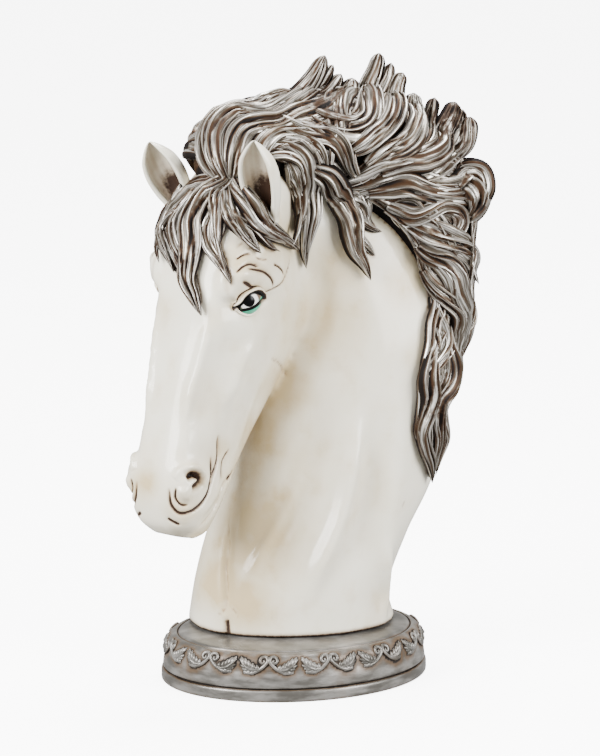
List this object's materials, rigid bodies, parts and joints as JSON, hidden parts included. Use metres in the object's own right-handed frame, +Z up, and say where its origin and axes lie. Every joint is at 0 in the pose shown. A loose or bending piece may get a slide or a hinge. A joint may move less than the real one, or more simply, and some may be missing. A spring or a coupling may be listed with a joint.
{
  "type": "horse head sculpture",
  "caption": "Cast horse head and neck with pricked ears and a windswept mane, turned to its left, fixed on an oval plinth with a scrollwork frieze.",
  "frame": {"origin": "centre of the plinth's underside, at rest height", "axes": "+Z up; X along the plinth's long axis, the neck leaving it towards -X; -Y is the horse's left, towards which the head turns"},
  "size_m": [0.2202, 0.12, 0.3521],
  "materials": {
    "ivory_resin": "pearly ivory paint over cast resin, with brown wash in the creases; the mane is silver paint with umber wash",
    "silver_resin": "satin silver paint over cast resin, with brown wash in the frieze and grooves"
  },
  "bodies": {
    "root": {"horse_bust": "ivory_resin", "plinth": "silver_resin"}
  },
  "joints": []
}
